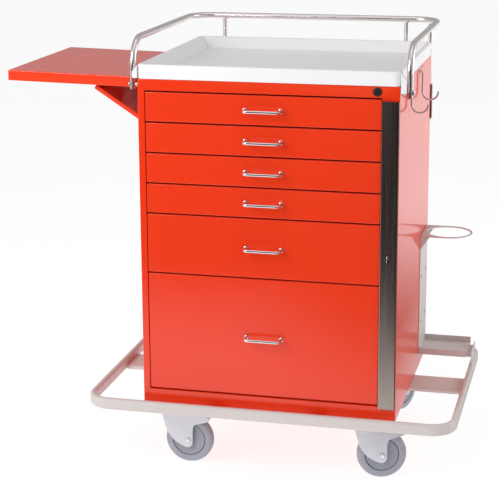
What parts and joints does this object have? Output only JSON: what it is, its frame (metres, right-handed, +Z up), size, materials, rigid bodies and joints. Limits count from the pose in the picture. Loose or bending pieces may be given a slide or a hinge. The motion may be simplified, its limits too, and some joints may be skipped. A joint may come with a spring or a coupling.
{
  "type": "crash cart",
  "caption": "Hospital crash cart: red steel cabinet with drawers, lock bar, top tray with guard rail, drop-leaf shelf, oxygen-cylinder holder, bumper and swivel castors.",
  "frame": {"origin": "on the floor under the middle of the whole cart's box", "axes": "+X to the cart's right as seen from its front, +Y from the front to the back, +Z up"},
  "size_m": [1.147, 0.6482, 1.102],
  "materials": {
    "red_enamel": "glossy red powder coat",
    "zinc_steel": "zinc-plated steel, satin",
    "stainless": "brushed stainless steel",
    "chrome": "polished chrome plate",
    "white_abs": "white moulded ABS, fine texture",
    "grey_enamel": "warm light grey enamel, satin",
    "grey_rubber": "light grey non-marking rubber on a moulded hub",
    "dark_metal": "dark oxide finish"
  },
  "bodies": {
    "cabinet": {"side_panel_left": "red_enamel", "side_panel_right": "red_enamel", "top_deck": "red_enamel", "base_pan": "red_enamel", "back_panel": "red_enamel", "slide_rack_left": "zinc_steel", "slide_rack_right": "zinc_steel", "lock_housing": "dark_metal", "corner_post_bracket": "dark_metal", "lock_bar_hinge": "stainless", "seal_staple": "stainless", "guard_rail": "stainless", "corner_post": "stainless", "top_tray": "white_abs", "shelf_hinge": "zinc_steel", "support_hinge": "zinc_steel", "hook_front": "zinc_steel", "hook_rear": "zinc_steel", "tank_ring": "grey_enamel", "tank_base": "grey_enamel", "bumper_loop": "grey_enamel", "cross_plate": "grey_enamel", "castor_plate_front_left": "zinc_steel", "castor_plate_front_right": "zinc_steel", "castor_plate_rear_left": "zinc_steel", "castor_plate_rear_right": "zinc_steel"},
    "drawer_1": {"drawer_front_1": "red_enamel", "drawer_box_1": "zinc_steel", "drawer_handle_1": "chrome"},
    "drawer_2": {"drawer_front_2": "red_enamel", "drawer_box_2": "zinc_steel", "drawer_handle_2": "chrome"},
    "drawer_3": {"drawer_front_3": "red_enamel", "drawer_box_3": "zinc_steel", "drawer_handle_3": "chrome"},
    "drawer_4": {"drawer_front_4": "red_enamel", "drawer_box_4": "zinc_steel", "drawer_handle_4": "chrome"},
    "drawer_5": {"drawer_front_5": "red_enamel", "drawer_box_5": "zinc_steel", "drawer_handle_5": "chrome"},
    "drawer_6": {"drawer_front_6": "red_enamel", "drawer_box_6": "zinc_steel", "drawer_handle_6": "chrome"},
    "lock_bar": {"lock_bar": "stainless"},
    "lock_plug": {"lock_plug": "dark_metal"},
    "shelf": {"side_shelf": "red_enamel"},
    "support": {"shelf_support": "red_enamel"},
    "castor_front_left": {"castor_fork_front_left": "zinc_steel", "castor_axle_front_left": "chrome"},
    "wheel_front_left": {"castor_wheel_front_left": "grey_rubber"},
    "castor_front_right": {"castor_fork_front_right": "zinc_steel", "castor_axle_front_right": "chrome"},
    "wheel_front_right": {"castor_wheel_front_right": "grey_rubber"},
    "castor_rear_left": {"castor_fork_rear_left": "zinc_steel", "castor_axle_rear_left": "chrome"},
    "wheel_rear_left": {"castor_wheel_rear_left": "grey_rubber"},
    "castor_rear_right": {"castor_fork_rear_right": "zinc_steel", "castor_axle_rear_right": "chrome"},
    "wheel_rear_right": {"castor_wheel_rear_right": "grey_rubber"}
  },
  "joints": [
    {"name": "drawer_1_slide", "type": "slide", "parent": "cabinet", "child": "drawer_1", "axis": [0, -1, 0], "range_m": [0, 0.43]},
    {"name": "drawer_2_slide", "type": "slide", "parent": "cabinet", "child": "drawer_2", "axis": [0, -1, 0], "range_m": [0, 0.43]},
    {"name": "drawer_3_slide", "type": "slide", "parent": "cabinet", "child": "drawer_3", "axis": [0, -1, 0], "range_m": [0, 0.43]},
    {"name": "drawer_4_slide", "type": "slide", "parent": "cabinet", "child": "drawer_4", "axis": [0, -1, 0], "range_m": [0, 0.43]},
    {"name": "drawer_5_slide", "type": "slide", "parent": "cabinet", "child": "drawer_5", "axis": [0, -1, 0], "range_m": [0, 0.43]},
    {"name": "drawer_6_slide", "type": "slide", "parent": "cabinet", "child": "drawer_6", "axis": [0, -1, 0], "range_m": [0, 0.43]},
    {"name": "lock_bar_swing", "type": "hinge", "parent": "cabinet", "child": "lock_bar", "pos_m": [0.4205, -0.2906, 0.6], "axis": [0, 0, 1], "range_deg": [0, 170]},
    {"name": "key_turn", "type": "hinge", "parent": "cabinet", "child": "lock_plug", "pos_m": [0.3695, -0.286, 0.9885], "axis": [0, -1, 0], "range_deg": [0, 90]},
    {"name": "shelf_drop", "type": "hinge", "parent": "cabinet", "child": "shelf", "pos_m": [-0.2259, 0, 0.97], "axis": [0, -1, 0], "range_deg": [0, 91]},
    {"name": "support_fold", "type": "hinge", "parent": "cabinet", "child": "support", "pos_m": [-0.2285, 0, 0.89], "axis": [0, -1, 0], "range_deg": [0, 123]},
    {"name": "swivel_front_left", "type": "hinge", "parent": "cabinet", "child": "castor_front_left", "pos_m": [-0.1475, -0.233, 0.15], "axis": [0, 0, 1], "continuous": true},
    {"name": "roll_front_left", "type": "hinge", "parent": "castor_front_left", "child": "wheel_front_left", "pos_m": [-0.1145, -0.233, 0.0625], "axis": [0, 1, 0], "continuous": true},
    {"name": "swivel_front_right", "type": "hinge", "parent": "cabinet", "child": "castor_front_right", "pos_m": [0.3505, -0.233, 0.15], "axis": [0, 0, 1], "continuous": true},
    {"name": "roll_front_right", "type": "hinge", "parent": "castor_front_right", "child": "wheel_front_right", "pos_m": [0.38222, -0.2239, 0.0625], "axis": [-0.2756, 0.9613, 0], "continuous": true},
    {"name": "swivel_rear_left", "type": "hinge", "parent": "cabinet", "child": "castor_rear_left", "pos_m": [-0.1475, 0.233, 0.15], "axis": [0, 0, 1], "continuous": true},
    {"name": "roll_rear_left", "type": "hinge", "parent": "castor_rear_left", "child": "wheel_rear_left", "pos_m": [-0.12222, 0.25421, 0.0625], "axis": [-0.6428, 0.766, 0], "continuous": true},
    {"name": "swivel_rear_right", "type": "hinge", "parent": "cabinet", "child": "castor_rear_right", "pos_m": [0.3505, 0.233, 0.15], "axis": [0, 0, 1], "continuous": true},
    {"name": "roll_rear_right", "type": "hinge", "parent": "castor_rear_right", "child": "wheel_rear_right", "pos_m": [0.36286, 0.2636, 0.0625], "axis": [-0.9272, 0.3746, 0], "continuous": true}
  ],
  "couplings": [
    {"joint": "support_fold", "follows": "shelf_drop", "ratio": 1.35}
  ]
}
